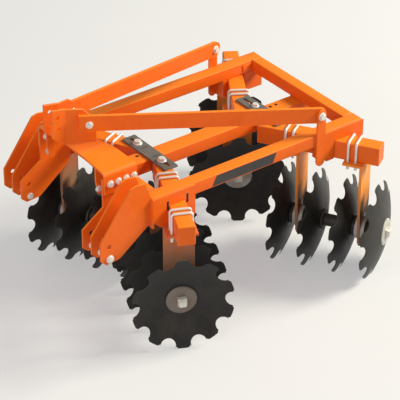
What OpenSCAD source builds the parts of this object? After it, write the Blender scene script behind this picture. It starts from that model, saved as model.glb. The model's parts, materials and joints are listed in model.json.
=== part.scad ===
// Mounted tandem disc harrow, four gangs of four notched discs on a three-point frame.
// Millimetres, +Z up, +X machine left, forward is -Y, ground at Z = 0.

/* [Discs] */
// Disc diameter
disc_d = 600; // [460:10:660]
// Disc thickness
disc_t = 4; // [3:0.5:8]
// Depth of the dish
dish_h = 63; // [30:1:80]
// Distance between discs on an axle
disc_gap = 194.5; // [180:1:260]
// Notches round one disc
notch_n = 10; // [6:1:14]
// Radius of one notch
notch_r = 48; // [20:1:60]

/* [Gangs] */
// Angle of the front gangs
front_angle = 24.4; // [10:0.5:35]
// Angle of the rear gangs
rear_angle = 31.9; // [10:0.5:35]
// Outer front disc, distance from the middle
front_x = 664; // [500:1:900]
// Outer front disc, place along the machine
front_y = -607; // [-900:1:-400]
// Outer rear disc, distance from the middle
rear_x = 715; // [500:1:900]
// Outer rear disc, place along the machine
rear_y = 770; // [500:1:1000]
// Side of the square axle
axle_w = 36; // [25:1:45]
// Radius of the round journal in a bearing
journal_r = 45; // [30:1:55]
// Running clearance of a bearing, on the radius
bearing_play = 0.05; // [0.02:0.01:0.1]
// Hanger plate thickness
hanger_t = 16; // [10:1:25]
// Hanger plate width at the top
hanger_w = 180; // [120:2:200]
// How far a hanger reaches below its axle
hanger_drop = 112; // [60:2:140]

/* [Frame] */
// Underside of the rails, where the gang beams meet them
deck_z = 886; // [700:1:950]
// Rail width
rail_w = 83; // [60:1:120]
// Rail height
rail_h = 78; // [60:1:120]
// Outer face of a rail, distance from the middle
rail_x = 516; // [400:1:700]
// Front end of the rails
rail_front = -705; // [-900:1:-500]
// Rear face of the rear cross tube
rail_rear = 800; // [600:1:1000]
// Place of the posts along the machine
post_y = 485; // [400:1:600]
// Thickness of the stays
stay_t = 22; // [12:1:30]
// Centre beam width
centre_w = 110; // [60:1:140]
// Centre beam height
centre_h = 83; // [60:1:120]
// Gang beam width
beam_w = 100; // [60:1:120]
// Gang beam height
beam_h = 118; // [60:1:130]
// U-bolt rod diameter
u_rod = 16; // [10:1:22]

/* [Hitch] */
// Outer faces of the hitch plates, distances from the middle
hitch_x = [324, 412, 503];
// Hitch plate thickness
hitch_t = 12; // [8:1:20]
// Height of the lower link pins
pin_z = 675; // [450:1:750]
// Place of the pins and link holes along the machine
pin_y = -987; // [-1100:1:-850]
// Height of the free link holes
link_z = 753; // [600:1:850]
// Pin diameter
pin_d = 28; // [22:0.5:36]
// Gap between the two mast cheeks
mast_gap = 66; // [45:1:90]
// Mast cheek and arch plate thickness
arch_t = 14; // [8:1:20]
// Top of the mast
mast_z = 1416; // [1200:1:1500]
// Front edge of the mast cheeks
mast_y = -1038; // [-1150:1:-950]
// Height of an arch leg above the rails
leg_h = 108; // [80:1:160]
// Height of a stay
stay_h = 96; // [50:1:120]
// Top link hole diameter
top_d = 26; // [19:0.5:32]

/* [Hidden] */
y_mid = 11.8;
disc_r = disc_d / 2;
hub_r = 94;
beam_z = deck_z - beam_h;
tube_z = deck_z + rail_h;
post_w = 60;
post_low = deck_z - 101;
post_top = tube_z + 134;
orange = [0.93, 0.42, 0.1];
dark = [0.16, 0.16, 0.16];
steel = [0.45, 0.43, 0.41];
zinc = [0.82, 0.82, 0.8];
grey = [0.4, 0.4, 0.39];

// Columns of a gang row: place across, place along, turn about Z, side the hub lies on,
// outer end of the beam, inner end of the beam, outer hanger, first and second U-bolt off a hanger
front_row = [front_x, front_y, -front_angle, -1, 105, -620, -115, 45, 92];
rear_row = [rear_x, rear_y, rear_angle, 1, 15, -738, -80, -42, -90];

module world() {
    translate([0, y_mid, 0]) children();
}

module right_side() {
    mirror([1, 0, 0]) children();
}

// Gang frame: X outward along the axle, Y back, Z up from the axle, X = 0 in the outer rim.
module gang(row) {
    world() translate([row[0], row[1], disc_r]) rotate([0, 0, row[2]]) children();
}

module rod(r, h) {
    rotate([0, 90, 0]) cylinder(r = r, h = h, $fn = 64);
}

module box(x, y, z) {
    translate([x[0], y[0], z[0]]) cube([x[1] - x[0], y[1] - y[0], z[1] - z[0]]);
}

// A plate drawn in Y and Z, standing from x to x + t.
module side_plate(x, t, points) {
    translate([x, 0, 0]) rotate([90, 0, 90]) linear_extrude(height = t) polygon(points);
}

module cross_bore(y, z, d) {
    translate([-700, y, z]) rod(d / 2, 1400);
}

// Frame

module left_rail() {
    color(orange) world() box([rail_x - rail_w, rail_x], [rail_front, rail_rear], [deck_z, tube_z]);
}

module right_rail() {
    right_side() left_rail();
}

module cross_tube(y) {
    color(orange) world() box([rail_w - rail_x, rail_x - rail_w], y, [deck_z, tube_z]);
}

module front_cross_tube() {
    cross_tube([rail_front, rail_front + rail_h]);
}

module rear_cross_tube() {
    cross_tube([rail_rear - rail_h, rail_rear]);
}

module centre_beam() {
    color(orange) world()
    box([-centre_w / 2, centre_w / 2], [rail_front, rail_rear], [deck_z - centre_h, deck_z]);
}

module angle_plate(half, y, slot) {
    color(grey) world() difference() {
        box([-half, half], y, [deck_z, deck_z + 12]);
        for (side = [-1, 1]) {
            translate([side * slot[0], (y[0] + y[1]) / 2, deck_z - 1]) {
                for (end = [-1, 1]) {
                    translate([end * slot[1], 0, 0]) cylinder(r = 11, h = 14, $fn = 32);
                }
                translate([-slot[1], -11, 0]) cube([2 * slot[1], 22, 14]);
            }
        }
    }
}

module front_angle_plate() {
    angle_plate(215, [-405, -315], [145, 40]);
}

module rear_angle_plate() {
    angle_plate(195, [415, 505], [130, 35]);
}

module left_post() {
    color(orange) world() for (x = [rail_x, rail_x - rail_w - 12]) {
        translate([x, 0, 0]) rotate([90, 0, 90]) linear_extrude(height = 12) union() {
            translate([post_y - post_w / 2, post_low]) square([post_w, post_top - post_low]);
            translate([post_y, post_low]) circle(d = post_w, $fn = 48);
            translate([post_y, post_top]) circle(d = post_w, $fn = 48);
        }
    }
}

module right_post() {
    right_side() left_post();
}

// The stays and the rear of the mast cheeks lie in an upright plane that runs from the mast to a post.
stay_x = mast_gap / 2 + arch_t;
stay_y = mast_y + 88;
stay_turn = atan2(rail_x - stay_t - stay_x, post_y - stay_y);
stay_run = (post_y - stay_y) / cos(stay_turn);
stay_front = mast_z - 112;
stay_rear = tube_z + 122;

module stay_plane() {
    translate([stay_x, stay_y, 0]) rotate([0, 0, -stay_turn]) children();
}

module left_brace() {
    color(orange) world() intersection() {
        stay_plane() rotate([90, 0, 90]) linear_extrude(height = stay_t) union() {
            polygon([[70, stay_front - stay_h / 2], [stay_run, stay_rear - stay_h / 2],
                [stay_run, stay_rear + stay_h / 2], [70, stay_front + stay_h / 2]]);
            translate([stay_run, stay_rear]) circle(d = stay_h, $fn = 64);
        }
        box([0, rail_x], [stay_y, rail_rear], [deck_z, mast_z]);
    }
}

module right_brace() {
    right_side() left_brace();
}

// Hitch

// The arch's shelf rises from the leg to the mast: its top and underside at x from the middle.
leg_top = tube_z + leg_h;
shelf_rise = (mast_z - 173 - leg_top) / (hitch_x[0] + arch_t - mast_gap / 2);
function shelf_z(x) = leg_top + (hitch_x[0] + arch_t - x) * shelf_rise;

// The corner that a fold of radius r takes off the outside of the plate, between leg and shelf.
module fold_corner(r) {
    half = (90 + atan(shelf_rise)) / 2;
    run = r / tan(half);
    x = hitch_x[0] + arch_t;
    translate([x, leg_top]) difference() {
        polygon([[1, -run], [1, 6], [-run * cos(atan(shelf_rise)), run * sin(atan(shelf_rise)) + 6],
            [-run * cos(atan(shelf_rise)), run * sin(atan(shelf_rise))], [-r * 0.5, -run]]);
        translate([-r, -run]) circle(r = r, $fn = 96);
    }
}

module left_arch() {
    inner = mast_gap / 2;
    leg = hitch_x[0];
    under = arch_t * 1.146;
    arch_back = rail_front + 105;
    color(orange) world() difference() {
        union() {
            intersection() {
                translate([0, arch_back, 0]) rotate([90, 0, 0]) linear_extrude(height = 500) difference() {
                    polygon([[leg, tube_z + 4], [leg + arch_t, tube_z + 4], [leg + arch_t, leg_top],
                        [0, shelf_z(0)], [0, shelf_z(0) - under], [leg, shelf_z(leg) - under]]);
                    fold_corner(30);
                }
                translate([0, 0, deck_z]) linear_extrude(height = mast_z - deck_z)
                polygon([[inner, mast_y], [inner + arch_t, mast_y], [leg + 40, mast_y + 155],
                    [leg + 40, rail_front + 33], [120, rail_front - 23], [inner, mast_y + 94]]);
            }
            side_plate(inner, arch_t, [[mast_y, shelf_z(inner) - 8], [mast_y, mast_z],
                [mast_y + 94, mast_z - 17], [mast_y + 94, shelf_z(inner) - 8]]);
            intersection() {
                stay_plane() side_plate(-arch_t, arch_t, [[0, tube_z + 56], [0, mast_z - 18],
                    [98, mast_z - 35], [215, mast_z - 161], [240, mast_z - 256], [240, tube_z + 56]]);
                translate([0, arch_back, 0]) rotate([90, 0, 0]) linear_extrude(height = 500)
                polygon([[0, shelf_z(0) - 8], [300, shelf_z(300) - 8], [300, mast_z + 104], [0, mast_z + 104]]);
            }
            side_plate(240, 12, [[pin_y + 57, shelf_z(246) - 8], [pin_y + 56, tube_z + 56],
                [pin_y + 102, tube_z - 29], [pin_y + 135, tube_z - 39], [pin_y + 135, shelf_z(246) - 8]]);
        }
        cross_bore(mast_y + 38, mast_z - 54, top_d);
        cross_bore(mast_y + 42, mast_z - 125, top_d);
    }
}

module right_arch() {
    right_side() left_arch();
}

module hitch_plate(k, points) {
    color(orange) world() difference() {
        side_plate(hitch_x[k] - hitch_t, hitch_t, points);
        cross_bore(pin_y, pin_z, pin_d);
        cross_bore(pin_y, link_z, pin_d + 1);
    }
}

inner_shape = [[pin_y - 56, pin_z - 5], [pin_y - 56, link_z + 35], [pin_y + 84, deck_z],
    [pin_y + 84, tube_z + 100], [rail_front, tube_z + 100], [rail_front, deck_z - 66],
    [rail_front - 60, deck_z - 116], [pin_y + 66, pin_z - 26], [pin_y - 23, pin_z - 33]];
outer_shape = [[pin_y - 58, pin_z], [pin_y - 58, link_z + 33], [pin_y + 149, tube_z + 102],
    [pin_y + 187, tube_z + 111], [pin_y + 247, tube_z + 104], [rail_front, tube_z],
    [rail_front, deck_z - 76], [pin_y + 66, pin_z - 23], [pin_y - 23, pin_z - 33]];

module left_hitch_inner() {
    hitch_plate(0, inner_shape);
}

module left_hitch_middle() {
    hitch_plate(1, outer_shape);
}

module left_hitch_outer() {
    hitch_plate(2, outer_shape);
}

module right_hitch_inner() {
    right_side() left_hitch_inner();
}

module right_hitch_middle() {
    right_side() left_hitch_middle();
}

module right_hitch_outer() {
    right_side() left_hitch_outer();
}

module left_link_pin() {
    first = hitch_x[0] - hitch_t - 12;
    color(zinc) world() {
        translate([first, pin_y, pin_z]) rod(pin_d / 2, hitch_x[2] + 14 - first);
    }
}

module right_link_pin() {
    right_side() left_link_pin();
}

// Pockets that hold the gang beams under the rails: gang row, outer plate along Y, inner plate along Y

function notch(row, x) = let(mid = row[1] + (x + 5 - row[0]) * tan(row[2]),
    half = (beam_w / 2 + 5 * sin(abs(row[2]))) / cos(row[2]) + 2) [mid - half, mid + half];

module pocket(row, outer, inner, trim) {
    cut = notch(row, rail_x);
    hole = notch(row, rail_x - rail_w);
    color(orange) world() {
        side_plate(rail_x, 10, [[outer[0], beam_z + trim], [outer[0] + trim, beam_z], [cut[0], beam_z], [cut[0], deck_z], [cut[1], deck_z],
            [cut[1], beam_z], [outer[1], beam_z], [outer[1], tube_z - 6], [outer[0], tube_z - 6]]);
        side_plate(rail_x - rail_w, 10, [[inner[0], beam_z], [hole[0], beam_z], [hole[0], deck_z],
            [inner[0], deck_z]]);
        side_plate(rail_x - rail_w, 10, [[hole[1], beam_z], [inner[1], beam_z], [inner[1], deck_z],
            [hole[1], deck_z]]);
        box([rail_x - rail_w + 10, rail_x], [inner[0], inner[0] + 10], [beam_z, deck_z]);
        box([rail_x - rail_w + 10, rail_x], [inner[1] - 10, inner[1]], [beam_z, deck_z]);
    }
}

module front_left_pocket() {
    pocket(front_row, [rail_front, rail_front + 285], [rail_front, rail_front + 285], 45);
}

module front_right_pocket() {
    right_side() front_left_pocket();
}

module rear_left_pocket() {
    pocket(rear_row, [post_y + 33, rail_rear + 6], [post_y + 15, rail_rear], 12);
}

module rear_right_pocket() {
    right_side() rear_left_pocket();
}

// One gang

module beam(row) {
    color(orange) gang(row)
    translate([row[5], -beam_w / 2, beam_z - disc_r]) cube([row[4] - row[5], beam_w, beam_h]);
}

module each_hanger(row) {
    for (k = [0, 2]) {
        translate([row[6] - k * disc_gap, 0, 0]) children();
    }
}

module hangers(row) {
    top = beam_z - disc_r;
    first = row[7] > 0 ? -12 : row[8] - 24;
    last = row[7] > 0 ? row[8] + 24 : 12;
    w = hanger_w / 2;
    color(steel) gang(row) each_hanger(row) difference() {
        union() {
            translate([-hanger_t / 2, 0, 0]) rotate([90, 0, 90]) linear_extrude(height = hanger_t)
            polygon([[-w, top - 14], [-w, 170], [-w + 20, -70], [-w + 50, -hanger_drop],
                [w - 50, -hanger_drop], [w - 20, -70], [w, 170], [w, top - 14]]);
            translate([first, -w, top - 14]) cube([last - first, 2 * w, 14]);
        }
        translate([-50, 0, 0]) rod(journal_r + 27, 100);
        for (x = [row[7], row[8]], y = [-1, 1]) {
            translate([x, y * (beam_w / 2 + u_rod / 2 + 0.3), top - 20])
            cylinder(r = u_rod / 2 + 1, h = 26, $fn = 32);
        }
    }
}

module bearings(row) {
    color(steel) gang(row) each_hanger(row) difference() {
        translate([-30, 0, 0]) rod(journal_r + 27, 60);
        translate([-31, 0, 0]) rod(journal_r + bearing_play, 62);
    }
}

module u_bolts(row) {
    reach = beam_w / 2 + u_rod / 2 + 0.3;
    top = deck_z - disc_r + u_rod / 2 + 0.3;
    low = beam_z - disc_r - 48;
    color(zinc) gang(row) each_hanger(row) for (x = [row[7], row[8]]) {
        translate([x, 0, 0]) union() {
            for (y = [-1, 1]) {
                translate([0, y * reach, low]) cylinder(d = u_rod, h = top - low, $fn = 32);
                translate([0, y * reach, top]) sphere(d = u_rod, $fn = 32);
            }
            translate([0, reach, top]) rotate([90, 0, 0]) cylinder(d = u_rod, h = 2 * reach, $fn = 32);
        }
    }
}

module axle(row) {
    ends = row[3] > 0 ? [-3 * disc_gap, dish_h + 32] : [-3 * disc_gap - dish_h - 32, 0];
    color(steel) gang(row)
    translate([ends[0], -axle_w / 2, -axle_w / 2]) cube([ends[1] - ends[0], axle_w, axle_w]);
}

module axle_bore() {
    translate([-900, -axle_w / 2, -axle_w / 2]) cube([1100, axle_w, axle_w]);
}

// A disc turned about X: flat hub face at X = 0, dished rim at X = -dish_h.
module dish() {
    steps = [for (i = [0 : 8]) hub_r + (disc_r - hub_r) * i / 8];
    drop = function (r) -dish_h * (r * r - hub_r * hub_r) / (disc_r * disc_r - hub_r * hub_r);
    rotate([0, 90, 0]) rotate_extrude($fn = 96) polygon(concat([[0, 0]],
        [for (r = steps) [r, drop(r)]],
        [for (i = [8 : -1 : 0]) [steps[i], drop(steps[i]) - disc_t]],
        [[0, -disc_t]]));
}

// Puts a piece drawn from the hub face outward on the hub of disc k, on its full side.
module on_hub(row, k) {
    translate([row[3] * dish_h - k * disc_gap, 0, 0]) rotate([0, 0, row[3] > 0 ? 0 : 180]) children();
}

module discs(row) {
    color(dark) gang(row) for (k = [0 : 3]) {
        on_hub(row, k) difference() {
            dish();
            for (i = [0 : notch_n - 1]) {
                rotate([360 / notch_n * (i + 0.5), 0, 0])
                translate([-150, 0, disc_r - 5]) rod(notch_r, 200);
            }
            axle_bore();
        }
    }
}

// Spools fill the run from the full side of one disc to the hollow side of the next.
module spools(row) {
    run = disc_gap - disc_t;
    bearing_at = row[3] > 0 ? row[6] - dish_h + disc_gap : -row[6] - dish_h;
    color(steel) gang(row) for (k = [0 : 2]) {
        on_hub(row, row[3] > 0 ? k + 1 : k) difference() {
            union() {
                rod(38, run);
                rod(62, 14);
                translate([run - 14, 0, 0]) rod(62, 14);
                if (k != 1) translate([bearing_at - 36, 0, 0]) rod(journal_r, 72);
            }
            axle_bore();
        }
    }
}

module ends(row) {
    color(steel) gang(row) {
        on_hub(row, row[3] > 0 ? 0 : 3) difference() {
            union() {
                rod(84, 10);
                translate([0, -26, -26]) cube([28, 52, 52]);
            }
            axle_bore();
        }
        on_hub(row, row[3] > 0 ? 3 : 0) difference() {
            union() {
                translate([-disc_t - 16, 0, 0]) rod(90, 16);
                translate([-disc_t - 48, -26, -26]) cube([48, 52, 52]);
            }
            axle_bore();
        }
    }
}

module front_left_beam() { beam(front_row); }
module front_right_beam() { right_side() beam(front_row); }
module rear_left_beam() { beam(rear_row); }
module rear_right_beam() { right_side() beam(rear_row); }
module front_left_hangers() { hangers(front_row); }
module front_right_hangers() { right_side() hangers(front_row); }
module rear_left_hangers() { hangers(rear_row); }
module rear_right_hangers() { right_side() hangers(rear_row); }
module front_left_bearings() { bearings(front_row); }
module front_right_bearings() { right_side() bearings(front_row); }
module rear_left_bearings() { bearings(rear_row); }
module rear_right_bearings() { right_side() bearings(rear_row); }
module front_left_u_bolts() { u_bolts(front_row); }
module front_right_u_bolts() { right_side() u_bolts(front_row); }
module rear_left_u_bolts() { u_bolts(rear_row); }
module rear_right_u_bolts() { right_side() u_bolts(rear_row); }
module front_left_axle() { axle(front_row); }
module front_right_axle() { right_side() axle(front_row); }
module rear_left_axle() { axle(rear_row); }
module rear_right_axle() { right_side() axle(rear_row); }
module front_left_discs() { discs(front_row); }
module front_right_discs() { right_side() discs(front_row); }
module rear_left_discs() { discs(rear_row); }
module rear_right_discs() { right_side() discs(rear_row); }
module front_left_spools() { spools(front_row); }
module front_right_spools() { right_side() spools(front_row); }
module rear_left_spools() { spools(rear_row); }
module rear_right_spools() { right_side() spools(rear_row); }
module front_left_ends() { ends(front_row); }
module front_right_ends() { right_side() ends(front_row); }
module rear_left_ends() { ends(rear_row); }
module rear_right_ends() { right_side() ends(rear_row); }

left_rail();
right_rail();
front_cross_tube();
rear_cross_tube();
centre_beam();
front_angle_plate();
rear_angle_plate();
left_post();
right_post();
left_brace();
right_brace();
left_arch();
right_arch();
left_hitch_inner();
left_hitch_middle();
left_hitch_outer();
right_hitch_inner();
right_hitch_middle();
right_hitch_outer();
left_link_pin();
right_link_pin();
front_left_pocket();
front_right_pocket();
rear_left_pocket();
rear_right_pocket();
front_left_beam();
front_right_beam();
rear_left_beam();
rear_right_beam();
front_left_hangers();
front_right_hangers();
rear_left_hangers();
rear_right_hangers();
front_left_bearings();
front_right_bearings();
rear_left_bearings();
rear_right_bearings();
front_left_u_bolts();
front_right_u_bolts();
rear_left_u_bolts();
rear_right_u_bolts();
front_left_axle();
front_right_axle();
rear_left_axle();
rear_right_axle();
front_left_discs();
front_right_discs();
rear_left_discs();
rear_right_discs();
front_left_spools();
front_right_spools();
rear_left_spools();
rear_right_spools();
front_left_ends();
front_right_ends();
rear_left_ends();
rear_right_ends();
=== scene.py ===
"""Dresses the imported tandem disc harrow: tubes, arches, discs, fixings, welds, paint and a studio."""
import json
import math

import bpy
import numpy as np
from bpy.props import FloatProperty, FloatVectorProperty, IntProperty, PointerProperty
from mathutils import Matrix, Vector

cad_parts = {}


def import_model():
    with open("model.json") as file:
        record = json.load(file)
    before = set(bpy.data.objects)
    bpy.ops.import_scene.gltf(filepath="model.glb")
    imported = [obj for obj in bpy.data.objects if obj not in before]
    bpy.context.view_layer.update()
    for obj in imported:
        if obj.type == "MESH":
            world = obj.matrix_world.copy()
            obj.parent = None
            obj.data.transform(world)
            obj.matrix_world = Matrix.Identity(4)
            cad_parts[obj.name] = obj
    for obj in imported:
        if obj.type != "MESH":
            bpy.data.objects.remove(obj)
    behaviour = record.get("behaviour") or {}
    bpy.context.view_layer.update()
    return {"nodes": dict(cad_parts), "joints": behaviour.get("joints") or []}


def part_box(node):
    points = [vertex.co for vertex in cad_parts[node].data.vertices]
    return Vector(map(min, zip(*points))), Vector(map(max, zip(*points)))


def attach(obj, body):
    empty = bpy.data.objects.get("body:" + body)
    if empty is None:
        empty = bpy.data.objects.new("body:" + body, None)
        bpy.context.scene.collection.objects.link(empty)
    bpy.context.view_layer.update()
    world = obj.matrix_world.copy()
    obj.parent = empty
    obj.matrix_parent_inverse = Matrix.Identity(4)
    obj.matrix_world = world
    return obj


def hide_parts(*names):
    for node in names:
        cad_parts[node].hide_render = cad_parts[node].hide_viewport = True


bl_info = {
    "name": "Disc harrow dressing",
    "version": (1, 0, 0),
    "blender": (4, 5, 0),
    "location": "View3D > Sidebar > Harrow",
    "description": "Adds tubes, discs, fixings, welds, finishes and a studio to the packed harrow",
    "category": "Object",
}

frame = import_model()

MM = 0.001
# The part's source is drawn about its own middle and then shifted along the machine by this much.
SHIFT = np.array([0.0, 11.8, 0.0])
UP = np.array([0.0, 0.0, 1.0])
LEFT = np.array([1.0, 0.0, 0.0])
BACK = np.array([0.0, 1.0, 0.0])
# What a place on the left is multiplied by on each side of the machine
SIDES = (("left", np.array([1.0, 1.0, 1.0])), ("right", np.array([-1.0, 1.0, 1.0])))

GANGS = ("front_left", "front_right", "rear_left", "rear_right")
# Per row, in millimetres along the axle: side of the hub, beam ends, outer hanger, U-bolts off a hanger
ROWS = {
    "front": {"hub": -1, "beam": (-620.0, 105.0), "hanger": -115.0, "u_bolts": (45.0, 92.0)},
    "rear": {"hub": 1, "beam": (-738.0, 15.0), "hanger": -80.0, "u_bolts": (-42.0, -90.0)},
}
# The two hangers of a gang, in disc gaps inwards from the outer one
HANGER_GAPS = (0, 2)
# Half thickness of a hanger, thickness of its top plate and reach of the bolts of its housing
HANGER_HALF = 8.0
HANGER_PLATE = 14.0
HOUSING_BOLT_REACH = 91.0

# Discs, in millimetres
DISCS = 4
DISC_GAP = 194.5
DISC_R = 300.0
DISC_T = 4.0
DISC_BORE = 34.0
DISH_H = 63.0
HUB_R = 94.0
NOTCHES = 10
NOTCH_R = 48.0
NOTCH_AT = 295.0

# Frame, in millimetres of the part's source
DECK = 886.0
TUBE_TOP = 964.0
TUBE_DEEP = 78.0
BEAM_LOW = 768.0
BEAM_W = 100.0
CENTRE_HALF = 55.0
RAIL_OUT = 516.0
RAIL_IN = 433.0
RAIL_FRONT = -705.0
RAIL_REAR = 800.0
POCKET_OUT = 526.0
POST_Y = 485.0
POST_WIDTH = 60.0
POST_LOW = 785.0
POST_TOP = 1098.0
STRAP_T = 12.0
ANGLE_PLATE_TOP = DECK + STRAP_T
STAY_T = 22.0
STAY_BOLT_Z = 1086.0
ARCH_T = 14.0
CHEEK_OUT = 47.0
CHEEK_SEAM = 1327.0
LINK_HOLE_R = 13.0
LEG_OUT = 338.0
LEG_FOOT = 968.0
LUG_OUT = 252.0
PIN_Y = -987.0
PIN_Z = 675.0
U_ROD_R = 8.0
U_CLEAR = 8.3
U_REACH = BEAM_W / 2 + U_CLEAR
U_TAIL = 48.0
STAY_START = np.array([CHEEK_OUT, -950.0, 0.0])
STAY_TURN = math.atan2(RAIL_OUT - STAY_T - CHEEK_OUT, POST_Y - STAY_START[1])
ALONG_STAY = np.array([math.sin(STAY_TURN), math.cos(STAY_TURN), 0.0])
OFF_STAY = np.array([math.cos(STAY_TURN), -math.sin(STAY_TURN), 0.0])

# Widths over the corners, in metres
U_NUT_ACROSS = 0.031
HOUSING_BOLT_ACROSS = 0.026
# Weld beads, in metres: spacing of the rings, length of a ripple and its share of the radius
BEAD_STEP = 0.0035
BEAD_RIPPLE = 0.0075
BEAD_WAVE = 0.13

# Finishes: the record's slot, base, second and edge colour, each a colour below by name or a plain one, the
# range of roughness, and what differs from the values in metal_finish
# The edge colour of each finish is partly worn paint or metal and partly a painted highlight along the edges.
FINISHES = {
    # Frame paint: faces that look up get a yellower orange, painted light from above.
    "frame_paint": ("orange_paint", "orange", "orange_deep", "orange_edge_wear_and_highlight", (0.36, 0.52),
                    {"dust": 0.12, "coat": 0.04, "coat_rough": 0.25, "gloss": 0.25,
                     "bleached": "orange_lit_top"}),
    # Front hangers: a darker second tone, more dust and soil reaching higher; partly real dirt, partly
    # painted shade.
    "front_hanger_shaded_paint": ("hanger_paint", "orange", (0.62, 0.14, 0.03), "orange_edge_wear_and_highlight", (0.42, 0.62),
                           {"tone_scale": 7.0, "tone": 0.5, "dust": 0.3, "soil_and_shade": (0.84, 0.54)}),
    # Rear hangers: a yellower orange high up, painted sunlight; soil low down.
    "rear_hanger_lit_paint": ("hanger_paint", "rear_hanger_lit", "orange", "orange_edge_wear_and_highlight", (0.42, 0.6),
                          {"tone_scale": 7.0, "tone": 0.4, "dust": 0.15, "soil_and_shade": (0.62, 0.32)}),
    "weld_paint": ("orange_paint", "orange_deep", "orange", "orange_edge_wear_and_highlight", (0.4, 0.55),
                   {"edge_amount": 0.3, "grain": (260.0, 0.4, 0.0006)}),
    "gang_casting": ("gang_steel", "casting", (0.06, 0.045, 0.034), (0.14, 0.13, 0.12), (0.5, 0.72),
                     {"tone_scale": 16.0, "dust": 0.25, "metallic": 0.2, "grain": (300.0, 0.45, 0.0006)}),
    "housing_steel": ("gang_steel", "housing", (0.36, 0.33, 0.29), (0.7, 0.7, 0.68), (0.42, 0.62),
                      {"tone_scale": 18.0, "tone": 0.7, "dust": 0.35, "metallic": 0.2,
                       "grain": (300.0, 0.4, 0.0005)}),
    # Front end washers: darker than the rear ones, painted shade.
    "washer_steel": ("gang_steel", "washer", (0.22, 0.18, 0.145), (0.45, 0.43, 0.40), (0.42, 0.62),
                     {"tone_scale": 18.0, "dust": 0.4, "metallic": 0.35, "grain": (300.0, 0.4, 0.0005)}),
    "bright_plating": ("zinc", "zinc", (0.70, 0.70, 0.66), (0.93, 0.93, 0.90), (0.26, 0.42),
                       {"tone_scale": 40.0, "tone": 0.5, "dust": 0.15, "metallic": 0.25,
                        "edge_width": 0.002, "grain": (700.0, 0.15, 0.0002)}),
    "nut_steel": ("zinc", (0.80, 0.80, 0.73), (0.60, 0.58, 0.51), "zinc", (0.36, 0.55),
                  {"tone_scale": 30.0, "dust": 0.3, "metallic": 0.4, "edge_width": 0.003}),
    "angle_plate_paint": ("grey_paint", "bracket", (0.12, 0.12, 0.115), (0.34, 0.34, 0.32), (0.42, 0.6),
                          {"tone_scale": 14.0, "dust": 0.3, "metallic": 0.2}),
    "band_film": ("grey_paint", "band", (0.035, 0.032, 0.03), (0.07, 0.06, 0.05), (0.25, 0.38),
                  {"tone_scale": 12.0, "tone": 0.5, "dust": 0.25, "edge_width": 0.001,
                   "grain": (900.0, 0.08, 0.0001)}),
    # Near black: painted shade in the pocket slots and the tapped holes.
    "hole_shade": ("orange_paint", (0.012, 0.008, 0.006), (0.02, 0.014, 0.01), (0.03, 0.02, 0.015),
                   (0.7, 0.9), {"tone_scale": 20.0, "tone": 0.5, "dust": 0.1}),
}
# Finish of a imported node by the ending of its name; the first that fits counts, and the rest is frame paint
NODE_FINISHES = (
    ("_angle_plate", "angle_plate_paint"), ("rear_left_hangers", "rear_hanger_lit_paint"),
    ("rear_right_hangers", "rear_hanger_lit_paint"), ("_hangers", "front_hanger_shaded_paint"),
    ("_bearings", "housing_steel"), ("_axle", "gang_casting"), ("_spools", "gang_casting"),
    ("_ends", "gang_casting"), ("_discs", "disc_coat"), ("_u_bolts", "bright_plating"),
    ("_link_pin", "bright_plating"),
)


def number_setting(label, about, default, **limits):
    """A number that a user may change."""
    return FloatProperty(name=label, description=about, default=default, **limits)


def length_setting(label, about, default, low, high):
    """A length in metres that a user may change."""
    return number_setting(label, about, default, min=low, max=high, unit="LENGTH")


def colour_setting(label, about, default):
    """A colour that a user may change."""
    return FloatVectorProperty(name=label, description=about, default=default, subtype="COLOR", size=3,
                               min=0, max=1)


class HarrowSizes(bpy.types.PropertyGroup):
    """Sizes of the dressing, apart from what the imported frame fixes."""
    tube_corner: length_setting(
        "Tube corner", "Radius on the long edges of the rails and beams", 0.007, 0.002, 0.02)
    edge_chamfer: length_setting(
        "End chamfer", "Chamfer round the ends of the rails and beams", 0.0025, 0.0005, 0.006)
    bolt_across: length_setting("Bolt head", "Corner to corner width of a bolt head", 0.034, 0.02, 0.05)
    bead_radius: length_setting("Weld bead", "Radius of a weld bead", 0.0045, 0.002, 0.008)
    disc_bevel: length_setting("Disc bevel", "Width of the ground edge of a disc", 0.013, 0.004, 0.03)
    u_bend: length_setting(
        "U-bolt bend", "Bend radius of a U-bolt at the middle of its rod", 0.014, 0.010, 0.03)
    disc_rings: IntProperty(
        name="Disc rings", description="Rings of faces on one side of a disc", default=11, min=5, max=24)


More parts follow.
